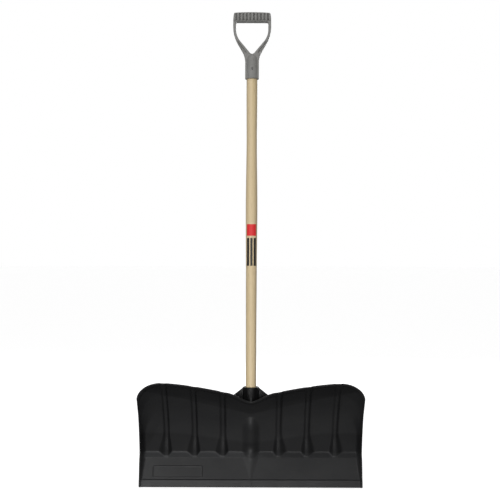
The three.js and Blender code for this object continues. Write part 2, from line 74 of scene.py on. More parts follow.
def to_frame(points):
    """Millimetres about the handle's axis to metres in the frame."""
    placed = np.asarray(points, float) * MM
    placed[:, 1] += AXIS_Y
    return placed


# ------------------------------------------------------------------ the blade's driving dimensions

SHEET = 4.0  # moulded wall
EDGE_Y = -34.0  # the front at the bottom edge
LOWER_LEAN = 0.42
LEDGE_Z = 76.0
LEDGE_LEAN = 0.8
CREASE_Z = 90.0
CREASE_ROUND = 3.0
PANEL_LEAN = 0.16
CURL_TO = -112.6  # the front at the shoulders
BAND_HEIGHT = 36.0  # the band under the rim that leans forward a little more
BAND_LEAN = 0.15
BAND_ROUND = 3.0
SHOULDER_Z = 294.0
SHOULDER_X = 236.0
NOTCH_DROP = 47.6
NOTCH_POWER = 1.45
NOTCH_ROUND = 8.0
VEE_DROP = 12.0
VEE_HALF = 62.0
VEE_ROUND = 3.0
CORNER_X = 238.0
CORNER_DROP = 52.0
TOP_SPREAD = 2.0
SPREAD_FROM = 150.0
SPREAD_TO = 250.0
LIP_Z = 19.0
LIP_PROUD = 3.2
LIP_STEP = 2.0  # height over which the lip ends at its top
FACE_X = 304.0  # the front face ends here, inside the flange wall

# The sides: a gentle facet beside the outer ribs, then a wall that turns forward to the edge.
WALL_WIDTHS = (5.0, 14.0, 52.0)  # at the bottom corners, at the crease, in the upper curl
WALL_DEPTHS = (5.0, 19.0, 17.0)
WALL_CREASE_Z = 80.0
WALL_OPENS_Z = (140.0, 235.0)
FACET_LEAN = 0.15
FACET_ROUND = 3.0
FACET_WIDTHS = (14.0, 56.0)
FACET_Z = (85.0, 190.0)

RIBS_X = (76.0, 154.0, 232.0)
RIB_HEIGHT = 8.5  # in the curl
RIB_LOW_HEIGHT = 6.0  # in the lower half of the panels
RIB_FADE_Z = (125.0, 190.0)
RIB_CREST = 2.5
RIB_INNER = 9.0
RIB_OUTER = 11.0
RIB_INNER_FLARE = 7.0
RIB_OUTER_FLARE = 15.0
RIB_FOOT_HEIGHT = 5.0
RIB_FOOT_TOP = 150.0
RIB_RIM_FLARE = 5.0
RIB_RIM_REACH = 22.0
FILL_X = 115.0  # only the inner ribs, which the wings cross
FILL_FROM_Z = (108.0, 122.0)
FILL_TO_Z = (150.0, 162.0)

BEAD_CREST = 4.0  # below the edge
BEAD_WIDTH = 8.5
BEAD_HEIGHT = 3.5
BEAD_BLEND = 1.5  # where the ribs run into it

SOCKET_MOUTH_Z = 272.0
SOCKET_MOUTH_R = 23.0
SOCKET_MOUTH_ROUND = 2.0
SOCKET_FOOT_R = 20.0
SOCKET_NOSE_Z = 66.0
SOCKET_WIDE_Z = (200.0, 235.0)  # the tube's front reaches its full radius between these heights

BULGE_CREST_Y = -18.6
BULGE_PROUD = 11.5
BULGE_POINT_Z = 22.0
BULGE_HALF = 27.0
BULGE_POINT_HALF = 4.0
BULGE_WIDENS_Z = (10.0, 100.0)
BULGE_TOP_HALF = 15.0
BULGE_NARROWS_Z = (160.0, 200.0)
BULGE_CREASE_ROUND = 20.0
BULGE_TOP_ROUND = 4.0  # where the socket's own depth takes over
BULGE_TOE_ROUND = 2.0

LEAD_IN_R = 19.0
LEAD_IN_DEPTH = 3.0
BOSS_R = 8.0
BOSS_Y = 26.0
BOSS_ROUND = 0.8
SCREW_HOLE_R = 2.5
PLAY = 0.3  # clearance where one piece sits in another
GATE_Z = 151.0  # the small moulding-gate mark on the socket's front
GATE_RAISE = 0.9
GATE_WIDTH = 2.2
GATE_HEIGHT = 3.4

PLATE_X = (-270.0, -133.0)  # a blank raised nameplate, low on the left
PLATE_Z = (24.0, 55.0)
PLATE_FRAME = 2.6
PLATE_RAISE = 1.0
PLATE_FIELD = 0.35
PLATE_CORNER = 4.0
PLATE_STEP = 0.5  # half the width over which each step of the plate rises

WING_THICK = 5.0
WING_EDGE_ROUND = 1.2
WING_OUTLINE = ((22.0, 270.0), (55.0, 244.0), (110.0, 162.0), (110.0, 150.0))
WEB_THICK = 5.0
WEB_FOOT_Z = 185.0
WEB_TOP_Z = 262.0
WEB_IN_TUBE_Y = -10.0
WEB_FRONT_Y = -22.0
WEB_BELOW_RIM = 8.0
EDGE_ROUND = 1.4

# ------------------------------------------------------------------ small maths


def smooth(low, high, value):
    t = np.clip((value - low) / (high - low), 0.0, 1.0)
    return t * t * (3 - 2 * t)


def mix(a, b, share):
    return a + (b - a) * share


def soft_min(a, b, radius):
    near = np.maximum(0.0, radius - np.abs(a - b)) / radius
    return np.minimum(a, b) - near * near * radius / 4


# ------------------------------------------------------------------ the blade's surface


def lower_face(z):
    return EDGE_Y + LOWER_LEAN * z + (LEDGE_LEAN - LOWER_LEAN) * np.maximum(0.0, z - LEDGE_Z)


CREASE_Y = float(lower_face(CREASE_Z))
CURL = (CREASE_Y - PANEL_LEAN * (SHOULDER_Z - CREASE_Z) - CURL_TO) / (SHOULDER_Z - CREASE_Z) ** 3


def upper_face(z):
    rise = z - CREASE_Z
    return CREASE_Y - PANEL_LEAN * rise - CURL * rise**3


def rim_z(x):
    dip = np.maximum(0.0, 1 - np.hypot(x, NOTCH_ROUND) / SHOULDER_X) ** NOTCH_POWER
    vee = VEE_DROP * (1 - smooth(0.0, VEE_HALF, np.hypot(x, VEE_ROUND)))
    corner = np.clip((np.abs(x) - CORNER_X) / (FACE_X - CORNER_X), 0.0, 1.0)
    return SHOULDER_Z - NOTCH_DROP * dip - vee - CORNER_DROP * (1 - np.sqrt(1 - corner * corner))


def rib_relief(x, z, to_rim):
    foot = 1 - smooth(CREASE_Z, RIB_FOOT_TOP, z)
    rim_flare = RIB_RIM_FLARE * (1 - smooth(0.0, RIB_RIM_REACH, to_rim))
    inner = RIB_INNER + RIB_INNER_FLARE * foot + rim_flare
    outer = RIB_OUTER + RIB_OUTER_FLARE * foot + rim_flare
    height = mix(RIB_LOW_HEIGHT, RIB_HEIGHT, smooth(*RIB_FADE_Z, z)) + RIB_FOOT_HEIGHT * foot
    relief = np.zeros_like(x)
    for at in RIBS_X:
        off = np.abs(x) - at
        half = np.where(off < 0, inner, outer)
        relief = np.maximum(relief, height * (1 - smooth(RIB_CREST, half, np.abs(off))))
    return relief


def flange_depth(x, z):
    """How far the side of the blade stands forward of the panels."""
    low = smooth(0.0, WALL_CREASE_Z, z)
    high = smooth(*WALL_OPENS_Z, z)
    width = mix(mix(WALL_WIDTHS[0], WALL_WIDTHS[1], low), WALL_WIDTHS[2], high)
    depth = mix(mix(WALL_DEPTHS[0], WALL_DEPTHS[1], low), WALL_DEPTHS[2], high)
    into = np.maximum(0.0, (np.abs(x) - FACE_X + width) / width)
    on_facet = np.abs(x) - FACE_X + mix(*FACET_WIDTHS, smooth(*FACET_Z, z))
    facet = FACET_LEAN * -soft_min(-on_facet, 0.0, FACET_ROUND) * smooth(LEDGE_Z, CREASE_Z, z)
    return depth * into * into + facet


def rounded_bead(to_rim):
    """The rim's bead: a half round on the front, its foot a little way below the edge."""
    across = np.clip((to_rim - BEAD_CREST) / (BEAD_WIDTH - BEAD_CREST), -1.0, 1.0)
    return BEAD_HEIGHT * np.sqrt(1 - across * across)


def panel_y(x, z):
    """The moulded sheet's front with its ribs and rim bead, without lip, socket or plate."""
    slope = rim_z(np.abs(x) + 0.5) - rim_z(np.abs(x) - 0.5)
    to_rim = np.maximum(0.0, rim_z(x) - z) / np.hypot(1.0, slope)
    band = -BAND_LEAN * soft_min(to_rim - BAND_HEIGHT, 0.0, BAND_ROUND)
    relief = -soft_min(-rib_relief(x, z, to_rim), -rounded_bead(to_rim), BEAD_BLEND) + band
    return soft_min(lower_face(z), upper_face(z) - relief, CREASE_ROUND) - flange_depth(x, z)


def spread_x(x, z):
    """The sides lean out a little under the curl."""
    return x * (1 + TOP_SPREAD / FACE_X * smooth(SPREAD_FROM, SPREAD_TO, z))


def lip_relief(z):
    return LIP_PROUD * np.minimum(1.0, z / LIP_Z) * (1 - smooth(LIP_Z, LIP_Z + LIP_STEP, z))


def bulge_crest(z):
    """Depth of the bulge's crest on the centre line."""
    low_part = BULGE_PROUD * smooth(BULGE_POINT_Z, HANDLE_BOTTOM, z)
    proud = soft_min(low_part, upper_face(z) - BULGE_CREST_Y, BULGE_TOP_ROUND)
    proud = -soft_min(-proud, 0.0, BULGE_TOE_ROUND)
    return soft_min(lower_face(z), upper_face(z), BULGE_CREASE_ROUND) - proud


def bulge_relief(x, z):
    low = mix(BULGE_POINT_HALF, BULGE_HALF, smooth(*BULGE_WIDENS_Z, z))
    half = mix(low, BULGE_TOP_HALF, smooth(*BULGE_NARROWS_Z, z))
    across = np.minimum(1.0, np.abs(x) / half)
    return (1 - across**2) ** 2 * np.maximum(0.0, panel_y(x, z) - bulge_crest(z))


def socket_section(z):
    """Half width, front and back of the socket's outside at height z."""
    taper = float(np.clip((HANDLE_BOTTOM - z) / (HANDLE_BOTTOM - SOCKET_NOSE_Z), 0.0, 1.0))
    up = float(np.clip((z - HANDLE_BOTTOM) / (SOCKET_MOUTH_Z - HANDLE_BOTTOM), 0.0, 1.0))
    radius = mix(SOCKET_FOOT_R, SOCKET_MOUTH_R, up)
    half = max(0.5, radius * (1 - taper**1.5))
    behind = SHEET / 2 + 0.5
    crest = BULGE_CREST_Y if z > SOCKET_WIDE_Z[0] else float(bulge_crest(np.array(z)))
    front = mix(crest + behind, -SOCKET_MOUTH_R, float(smooth(*SOCKET_WIDE_Z, z)))
    back = mix(radius, float(lower_face(SOCKET_NOSE_Z)) + SHEET, taper)
    return half, front, back


def plate_relief(x, z):
    """The blank nameplate: a raised rounded frame around a field that stands a little lower."""
    cx, cz = sum(PLATE_X) / 2, sum(PLATE_Z) / 2
    half_x, half_z = (PLATE_X[1] - PLATE_X[0]) / 2, (PLATE_Z[1] - PLATE_Z[0]) / 2
    off_x, off_z = np.abs(x - cx), np.abs(z - cz)
    dx = np.maximum(off_x - half_x + PLATE_CORNER, 0.0)
    dz = np.maximum(off_z - half_z + PLATE_CORNER, 0.0)
    inside = PLATE_CORNER - np.hypot(dx, dz)
    inside = np.minimum(inside, np.minimum(half_x - off_x, half_z - off_z))
    raised = smooth(-PLATE_STEP, PLATE_STEP, inside)
    field = smooth(PLATE_FRAME - PLATE_STEP, PLATE_FRAME + PLATE_STEP, inside)
    return PLATE_RAISE * raised - (PLATE_RAISE - PLATE_FIELD) * field


def gate_relief(x, z):
    return GATE_RAISE * np.exp(-((x / GATE_WIDTH) ** 2) - ((z - GATE_Z) / GATE_HEIGHT) ** 2)


def front_y(x, z):
    relief = lip_relief(z) + plate_relief(x, z) + gate_relief(x, z)
    return panel_y(x, z) - bulge_relief(x, z) - relief


def plain_y(x, z):
    """The sheet's front without ribs, bead and band."""
    return soft_min(lower_face(z), upper_face(z), CREASE_ROUND) - flange_depth(x, z)


def behind_y(x, z):
    """What the back follows: the ribs are hollow behind, but filled where the wings' foot meets them."""
    filled = smooth(*FILL_FROM_Z, z) * (1 - smooth(*FILL_TO_Z, z)) * (np.abs(x) < FILL_X)
    return mix(panel_y(x, z), plain_y(x, z), filled)


def back_normals(x, z):
    """Unit normals of the blade's back, without the ribs, so that the wall keeps its thickness."""
    dx = plain_y(x + 0.5, z) - plain_y(x - 0.5, z)
    dz = plain_y(x, z + 0.5) - plain_y(x, z - 0.5)
    normals = np.stack([-dx, np.ones_like(dx), -dz], -1)
    return normals / np.linalg.norm(normals, axis=-1, keepdims=True)


# ------------------------------------------------------------------ mesh helpers


def graded(stops):
    """Positions along a line from (start, end, step) stretches that follow one another."""
    parts = [np.arange(a, b, step) for a, b, step in stops]
    return np.concatenate([*parts, [stops[-1][1]]])


def new_object(name, vertices, faces):
    mesh = bpy.data.meshes.new(name)
    mesh.from_pydata([tuple(v) for v in vertices], [], faces)
    mesh.validate()
    obj = bpy.data.objects.new(name, mesh)
    bpy.context.scene.collection.objects.link(obj)
    face_out(obj)
    return obj


def face_out(obj):
    work = bmesh.new()
    work.from_mesh(obj.data)
    bmesh.ops.recalc_face_normals(work, faces=work.faces)
    work.to_mesh(obj.data)
    work.free()


def ring_faces(first, count, sides):
    """Quads between count rings of sides vertices, stored one after another from index first."""
    faces = []
    for ring in range(count - 1):
        low = first + ring * sides
        for i in range(sides):
            j = (i + 1) % sides
            faces.append((low + i, low + j, low + sides + j, low + sides + i))
    return faces


def loft(name, rings):
    """A closed solid through rings of equal length, capped at both ends."""
    sides = len(rings[0])
    points = to_frame(np.concatenate(rings))
    faces = ring_faces(0, len(rings), sides)
    faces.append(tuple(range(sides)))
    last = (len(rings) - 1) * sides
    faces.append(tuple(range(last, last + sides)))
    return new_object(name, points, faces)


def turned(name, profile, sides=96, wobble=None):
    """A solid turned about the handle's axis from (radius, z) pairs, its ends closed by flat caps."""
    angles = np.linspace(0, 2 * math.pi, sides, endpoint=False)
    rings = []
    for radius, z in profile:
        r = radius + (wobble(angles, z) if wobble else 0.0)
        ring = np.stack([r * np.cos(angles), r * np.sin(angles), np.full(sides, z)], -1)
        rings.append(ring)
    return loft(name, rings)


def cross_turned(name, profile, z, sides=48):
    """A solid turned about a line along Y at height z, from (radius, y) pairs."""
    angles = np.linspace(0, 2 * math.pi, sides, endpoint=False)
    rings = []
    for radius, y in profile:
        ring = [radius * np.cos(angles), np.full(sides, y), z + radius * np.sin(angles)]
        rings.append(np.stack(ring, -1))
    return loft(name, rings)


def prism(name, outline, low, high, across, bevel=0.0):
    """A closed outline of (a, z) pairs, given thickness from low to high along X or Y."""
    rings = []
    for t in (low, high):
        a, z = np.array(outline, float).T
        flat = np.full(len(a), t)
        rings.append(np.stack([flat, a, z] if across == "x" else [a, flat, z], -1))
    obj = loft(name, rings)
    if bevel:
        work = bmesh.new()
        work.from_mesh(obj.data)
        bmesh.ops.bevel(
            work, geom=list(work.edges), offset=bevel * MM, segments=3, affect="EDGES", profile=0.5
        )
        work.to_mesh(obj.data)
        work.free()
        face_out(obj)
    return obj


def combine(target, others, operation):
    """Joins or cuts target with each of others, which are then removed."""
    for other in others:
        step = target.modifiers.new("combine", "BOOLEAN")
        step.operation = operation
        step.object = other
        step.solver = "MANIFOLD"
        apply_modifiers(target)
        bpy.data.objects.remove(other)


def apply_modifiers(obj):
    graph = bpy.context.evaluated_depsgraph_get()
    made = bpy.data.meshes.new_from_object(obj.evaluated_get(graph))
    obj.modifiers.clear()
    old = obj.data
    obj.data = made
    made.name = obj.name
    bpy.data.meshes.remove(old)


def shade(obj, angle=35):
    """Smooth shading that keeps edges sharper than the angle."""
    work = bmesh.new()
    work.from_mesh(obj.data)
    limit = math.radians(angle)
    for face in work.faces:
        face.smooth = True
    for edge in work.edges:
        edge.smooth = not (len(edge.link_faces) == 2 and edge.calc_face_angle(0.0) > limit)
    work.to_mesh(obj.data)
    work.free()


# ------------------------------------------------------------------ the blade


# The blade's grid: finer about the socket, in the side walls, on the nameplate and along the rim.
SOCKET_COLUMNS_TO = 34.0
WALL_COLUMNS_FROM = 284.0
COLUMNS_TO = FACE_X - 0.8
PLATE_MARGIN = 3.0
LOW_ROWS = ((0.5, 16.0, 1.6), (16.0, 60.0, 1.0), (60.0, 72.0, 1.6), (72.0, 96.0, 1.0))
UPPER_ROW_SHARE = 0.014
RIM_ROWS = 18


def blade_columns():
    """The grid's columns: the left half mirrors the right one, but has finer columns on the plate."""
    right = graded(
        [
            (0.0, SOCKET_COLUMNS_TO, 1.0),
            (SOCKET_COLUMNS_TO, WALL_COLUMNS_FROM, 2.2),
            (WALL_COLUMNS_FROM, COLUMNS_TO, 0.9),
        ]
    )
    plate = graded([(PLATE_X[0] - PLATE_MARGIN, PLATE_X[1] + PLATE_MARGIN, 1.1)])
    left = -right[1:]
    clear = PLATE_MARGIN + 0.5
    outside = (left < PLATE_X[0] - clear) | (left > PLATE_X[1] + clear)
    return np.unique(np.round(np.concatenate([left[outside], plate, right]), 3))


def blade_rows(x):
    """Heights of the grid's rows at each column, as an array of rows by columns."""
    low = graded(LOW_ROWS)
    share = graded([(0.0, 1.0, UPPER_ROW_SHARE)])[1:]
    top = rim_z(x) - EDGE_ROUND
    bead = top - BEAD_WIDTH - 3
    upper = low[-1] + share[:, None] * (bead - low[-1])[None, :]
    edge = bead[None, :] + np.linspace(0, 1, RIM_ROWS)[1:, None] * (top - bead)[None, :]
    return np.concatenate([np.repeat(low[:, None], len(x), 1), upper, edge])


def perimeter(rows, columns):
    """Indices around a grid: bottom, right, top, left."""
    at = np.arange(rows * columns).reshape(rows, columns)
    return np.concatenate([at[0, :], at[1:, -1], at[-1, -2::-1], at[-2:0:-1, 0]])


def grid_faces(rows, columns, first, turn):
    at = np.arange(rows * columns).reshape(rows, columns) + first
    quads = np.stack([at[:-1, :-1], at[:-1, 1:], at[1:, 1:], at[1:, :-1]], -1).reshape(-1, 4)
    return [tuple(q[::-1] if turn else q) for q in quads.tolist()]


def blade_sheet():
    """Front and back grids, joined all round by a rounded edge."""
    xs = blade_columns()
    z = blade_rows(xs)
    x = np.repeat(xs[None, :], len(z), 0)
    rows, columns = z.shape
    side = spread_x(x, z)
    front = np.stack([side, front_y(x, z), z], -1).reshape(-1, 3)
    normals = back_normals(x, z)
    back = (np.stack([side, behind_y(x, z), z], -1) + SHEET * normals).reshape(rows, columns, 3)
    back[0, :, 1] = panel_y(x, z)[0] + SHEET / normals[0, :, 1]
    back[0, :, 2] = z[0]
    back = back.reshape(-1, 3)
    loop = perimeter(rows, columns)
    f, b = front[loop], back[loop]
    middle = (f + b) / 2
    along = np.roll(middle, -1, 0) - np.roll(middle, 1, 0)
    out = np.cross(along, b - f)
    out /= np.linalg.norm(out, axis=1, keepdims=True)
    centre = np.array([0.0, middle[:, 1].mean(), SHOULDER_Z / 2])
    out *= np.sign(((middle - centre) * out).sum(1))[:, None]
    reach = np.where(loop < columns, 0.5, EDGE_ROUND)[:, None]
    steps = 5
    rings = []
    for k in range(1, steps):
        turn = math.pi * k / steps
        rings.append(middle + (f - middle) * math.cos(turn) + out * reach * math.sin(turn))
    points = np.concatenate([front, back, *rings])
    points[:, 2] = np.maximum(points[:, 2], 0.0)
    faces = grid_faces(rows, columns, 0, False)
    faces += grid_faces(rows, columns, rows * columns, True)
    count = len(loop)
    start = 2 * rows * columns
    chain = [loop, *[start + np.arange(count) + k * count for k in range(steps - 1)]]
    chain.append(loop + rows * columns)
    for near, far in zip(chain, chain[1:]):
        quads = np.stack([near, far, np.roll(far, -1), np.roll(near, -1)], -1)
        faces += [tuple(q) for q in quads.tolist()]
    return new_object("blade_visual", to_frame(points), faces)


def socket_tube():
    """The socket behind the sheet, from the nose under the handle up to its rounded mouth."""
    heights = graded([(SOCKET_NOSE_Z, SOCKET_MOUTH_Z - SOCKET_MOUTH_ROUND, 3.0)])
    sides = 96
    angles = np.linspace(0, 2 * math.pi, sides, endpoint=False)
    rings = []
    for z in heights:
        half, front, back = socket_section(z)
        y = (front + back) / 2 + (back - front) / 2 * np.sin(angles)
        rings.append(np.stack([half * np.cos(angles), y, np.full(sides, z)], -1))
    for k in range(1, 6):
        turn = math.pi / 2 * k / 5
        r = SOCKET_MOUTH_R - SOCKET_MOUTH_ROUND * (1 - math.cos(turn))
        z = SOCKET_MOUTH_Z - SOCKET_MOUTH_ROUND * (1 - math.sin(turn))
        rings.append(np.stack([r * np.cos(angles), r * np.sin(angles), np.full(sides, z)], -1))
    return loft("tube", rings)


def side_wings():
    outline = [*WING_OUTLINE, *((-a, z) for a, z in reversed(WING_OUTLINE))]
    return prism("wings", outline, -WING_THICK / 2, WING_THICK / 2, "y", bevel=WING_EDGE_ROUND)


def middle_web():
    """The upright web between the tube and the blade under the rim's V."""
    top = float(rim_z(np.array(0.0))) - WEB_BELOW_RIM
    sheet = []
    for z in np.linspace(WEB_FOOT_Z, top, 8):
        sheet.append((float(panel_y(np.array(0.0), np.array(z))) + SHEET / 2, z))
    outline = [(WEB_IN_TUBE_Y, WEB_FOOT_Z), *sheet, (WEB_FRONT_Y, WEB_TOP_Z), (WEB_IN_TUBE_Y, WEB_TOP_Z)]
    return prism("web", outline, -WEB_THICK / 2, WEB_THICK / 2, "x")


def make_blade():
    blade = blade_sheet()
    side = [(BOSS_R + 1, 2), (BOSS_R, BOSS_Y - BOSS_ROUND), (BOSS_R - BOSS_ROUND, BOSS_Y)]
    boss = cross_turned("boss", side, SOCKET_SCREW_Z)
    combine(blade, [socket_tube(), side_wings(), middle_web(), boss], "UNION")
    bore_r = handle_radius(HANDLE_BOTTOM) + PLAY
    above = SOCKET_MOUTH_Z + 20
    bore = turned("bore", [(bore_r, HANDLE_BOTTOM - PLAY), (bore_r, above)])
    lead = [
        (bore_r, SOCKET_MOUTH_Z - LEAD_IN_DEPTH - 2.5),
        (LEAD_IN_R - 0.6, SOCKET_MOUTH_Z - LEAD_IN_DEPTH),
        (LEAD_IN_R, SOCKET_MOUTH_Z - 0.8),
        (LEAD_IN_R + 1.2, SOCKET_MOUTH_Z + 0.4),
        (LEAD_IN_R + 1.2, above),
    ]
    hole = cross_turned("hole", [(SCREW_HOLE_R, 5), (SCREW_HOLE_R, BOSS_Y + 10)], SOCKET_SCREW_Z)
    combine(blade, [bore, turned("lead_in", lead), hole], "DIFFERENCE")
    shade(blade, 40)
    return blade


# ------------------------------------------------------------------ the handle

HANDLE_CHAMFER = 2.0
# Radius of the turned wood at heights from its foot to its head.
HANDLE_RADII = ((165, 14.2), (380, 14.3), (567, 14.9), (765, 16.1), (955, 14.3), (1078, 15.0))


def handle_radius(z):
    """Radius of the turned wood: a slender foot, a swell in the middle, a neck and a head."""
    heights = [h for h, _ in HANDLE_RADII]
    radii = [r for _, r in HANDLE_RADII]
    if z >= heights[-1]:
        return radii[-1]
    i = max(1, next(i for i, h in enumerate(heights) if h >= z))
    return float(mix(radii[i - 1], radii[i], smooth(heights[i - 1], heights[i], z)))


def make_handle():
    def wobble(angles, z):
        return 0.05 * np.sin(3 * angles + z / 90) + 0.04 * np.sin(2 * angles - z / 130)

    profile = []
    for k in range(5):
        turn = math.pi / 2 * k / 4
        cut = HANDLE_CHAMFER * (1 - math.sin(turn))
        rise = HANDLE_CHAMFER * (1 - math.cos(turn))
        profile.append((handle_radius(HANDLE_BOTTOM) - cut, HANDLE_BOTTOM + rise))
    for z in np.linspace(HANDLE_BOTTOM + HANDLE_CHAMFER, HANDLE_TOP - HANDLE_CHAMFER, 150)[1:]:
        profile.append((handle_radius(z), z))
    profile.append((handle_radius(HANDLE_TOP) - HANDLE_CHAMFER, HANDLE_TOP))
    handle = turned("handle_visual", profile, wobble=wobble)
    socket_hole = cross_turned("h1", [(SCREW_HOLE_R, 9.5), (SCREW_HOLE_R, 30)], SOCKET_SCREW_Z)
    grip_hole = cross_turned("h2", [(SCREW_HOLE_R, -30), (SCREW_HOLE_R, -1.0)], GRIP_SCREW_Z)
    combine(handle, [socket_hole, grip_hole], "DIFFERENCE")
    shade(handle, 40)
    return handle


# ------------------------------------------------------------------ the D-grip

GRIP_HALF = 52.4
GRIP_DEPTH = 24.0
BAR_DEPTH = 31.0
BAR_BOTTOM = GRIP_TOP - 26.0
BAR_LOW_ROUND = 9.0
GRIP_SOCKET_R = 19.0
SLOTS = 10
SLOT_PITCH = 9.7
SLOT_WIDTH = 3.8
SLOT_WEB = 15.0
SLOT_BOTTOM = GRIP_TOP - 23.0
SLOT_TOP = GRIP_TOP - 3.5
CHANNEL_DEPTH = 3.5
COLLAR_Z = GRIP_TOP - 118.5  # where the arms leave the socket
GRIP_HEAD_R = 3.4
GRIP_SEAT_Y = -17.4
SOCKET_HEAD_R = 4.6
BEYOND = 40.0  # past any face of the grip
VOXEL = 0.7


def bezier(*points, count=12):
    """Points along a Bezier curve, the first one left out."""
    made = []
    for t in np.linspace(0, 1, count + 1)[1:]:
        level = [np.array(p, float) for p in points]
        while len(level) > 1:
            level = [mix(a, b, t) for a, b in zip(level, level[1:])]
        made.append(tuple(level[0]))
    return made


def mirrored(half):
    """A right half, from the top of the centre line to its foot, completed with its left half."""
    return half + [(-a, z) for a, z in reversed(half[1:-1])]


def grip_outline():
    top = GRIP_TOP
    half = [(0.0, top)]
    half += bezier((0, top), (28, top), (47, top - 1.6))
    half += bezier((47, top - 1.6), (50.3, top - 2.2), (50.8, top - 6), count=8)
    half += bezier((50.8, top - 6), (GRIP_HALF, top - 18), (GRIP_HALF, top - 27), count=4)
    half.append((GRIP_HALF, top - 43))
    arm_foot = (33.5, top - 95.5)
    half += bezier((GRIP_HALF, top - 43), (51.6, top - 62), (44, top - 79), arm_foot, count=16)
    half.append((26.2, top - 108.3))
    half += bezier((26.2, top - 108.3), (20.3, top - 118.5), (GRIP_SOCKET_R, top - 133), count=8)
    half.append((GRIP_SOCKET_R, GRIP_BOTTOM + 2))
    half.append((GRIP_SOCKET_R - 2, GRIP_BOTTOM))
    half.append((0.0, GRIP_BOTTOM))
    return mirrored(half)


def opening_outline():
    bar, top, wide = BAR_BOTTOM, GRIP_TOP, 44.8
    half = [(0.0, bar), (wide - 4, bar)]
    half += bezier((wide - 4, bar), (wide, bar), (wide, bar - 4), count=6)
    half.append((wide, top - 43.5))
    half += bezier((wide, top - 43.5), (wide, top - 58.5), (41, top - 69.5), (34, top - 78.5))
    half.append((6.4, top - 111.5))
    half += bezier((6.4, top - 111.5), (3, top - 115), (0, top - 115), count=6)
    return mirrored(half)


def channel_outline(side):
    """One recess on an arm's face, between the arm's inner and outer walls."""
    top = GRIP_TOP
    outer = bezier((42.5, top - 76), (36.5, top - 88), (28.5, top - 101), (20, top - 112), count=8)
    inner = bezier((14.0, top - 112), (26.5, top - 96), (39.5, top - 79), count=8)
    return [(side * a, z) for a, z in [(42.5, top - 76), *outer, (14.0, top - 112), *inner]]


def bar_section():
    """The hand bar across: flat underneath with rounded corners, arched on top."""
    half, low, top, r = BAR_DEPTH / 2, BAR_BOTTOM, GRIP_TOP, BAR_LOW_ROUND
    right = [(0.0, low), (half - r, low)]
    right += bezier((half - r, low), (half, low), (half, low + r), count=8)
    right.append((half, top - 13))
    right += bezier((half, top - 13), (half - 0.5, top), (0, top), count=14)
    return right + [(-a, z) for a, z in reversed(right[1:-1])]


def make_grip():
    bar = prism("d_grip_visual", bar_section(), -60, 60, "x")
    combine(bar, [prism("outline", grip_outline(), -BEYOND, BEYOND, "y")], "INTERSECT")
    arms = prism("arms", grip_outline(), -GRIP_DEPTH / 2, GRIP_DEPTH / 2, "y")
    neck = turned(
        "neck",
        [
            (GRIP_SOCKET_R - 1.6, GRIP_BOTTOM),
            (GRIP_SOCKET_R, GRIP_BOTTOM + 1.6),
            (GRIP_SOCKET_R, COLLAR_Z - 14),
            (GRIP_SOCKET_R - 1.2, COLLAR_Z - 7),
            (GRIP_SOCKET_R - 4.5, COLLAR_Z),
            (GRIP_SOCKET_R - 9, COLLAR_Z + 4),
        ],
    )
    combine(bar, [arms, neck], "UNION")
    cutters = [prism("opening", opening_outline(), -BEYOND, BEYOND, "y")]
    for i in range(SLOTS):
        x = (i - (SLOTS - 1) / 2) * SLOT_PITCH
        for near, far in ((-BEYOND, -SLOT_WEB / 2), (SLOT_WEB / 2, BEYOND)):
            outline = [(near, SLOT_BOTTOM), (far, SLOT_BOTTOM), (far, SLOT_TOP), (near, SLOT_TOP)]
            cutters.append(prism("slot", outline, x - SLOT_WIDTH / 2, x + SLOT_WIDTH / 2, "x"))
    floor_y = GRIP_DEPTH / 2 - CHANNEL_DEPTH
    for side in (-1, 1):
        for near, far in ((-BEYOND, -floor_y), (floor_y, BEYOND)):
            cutters.append(prism("channel", channel_outline(side), near, far, "y"))
    bore_r = handle_radius(HANDLE_TOP) + PLAY
    cutters.append(turned("bore", [(bore_r, GRIP_BOTTOM - 10), (bore_r, HANDLE_TOP + PLAY)]))
    seat_r = GRIP_HEAD_R + PLAY
    cutters.append(cross_turned("seat", [(seat_r, -30), (seat_r, GRIP_SEAT_Y)], GRIP_SCREW_Z))
    cutters.append(cross_turned("hole", [(SCREW_HOLE_R, -30), (SCREW_HOLE_R, -5)], GRIP_SCREW_Z))
    combine(bar, cutters, "DIFFERENCE")
    round_edges(bar)
    shade(bar, 60)
    return bar


def round_edges(obj):
    """Gives every edge the small radius of a moulded part."""
    remesh = obj.modifiers.new("remesh", "REMESH")
    remesh.mode = "VOXEL"
    remesh.voxel_size = VOXEL * MM
    relax = obj.modifiers.new("relax", "SMOOTH")
    relax.factor = 0.5
    relax.iterations = 4
    apply_modifiers(obj)


# ------------------------------------------------------------------ the screws

SHANK_R = 2.2
SHANK_LENGTH = 16.0
HEAD_DOME = 2.0
RECESS_DEPTH = 1.7
RECESS_ARM = 0.57  # half the recess's length, as a share of the head's radius
RECESS_HALF = 0.12  # half its width, likewise
RECESS_TURN = 20.0  # degrees


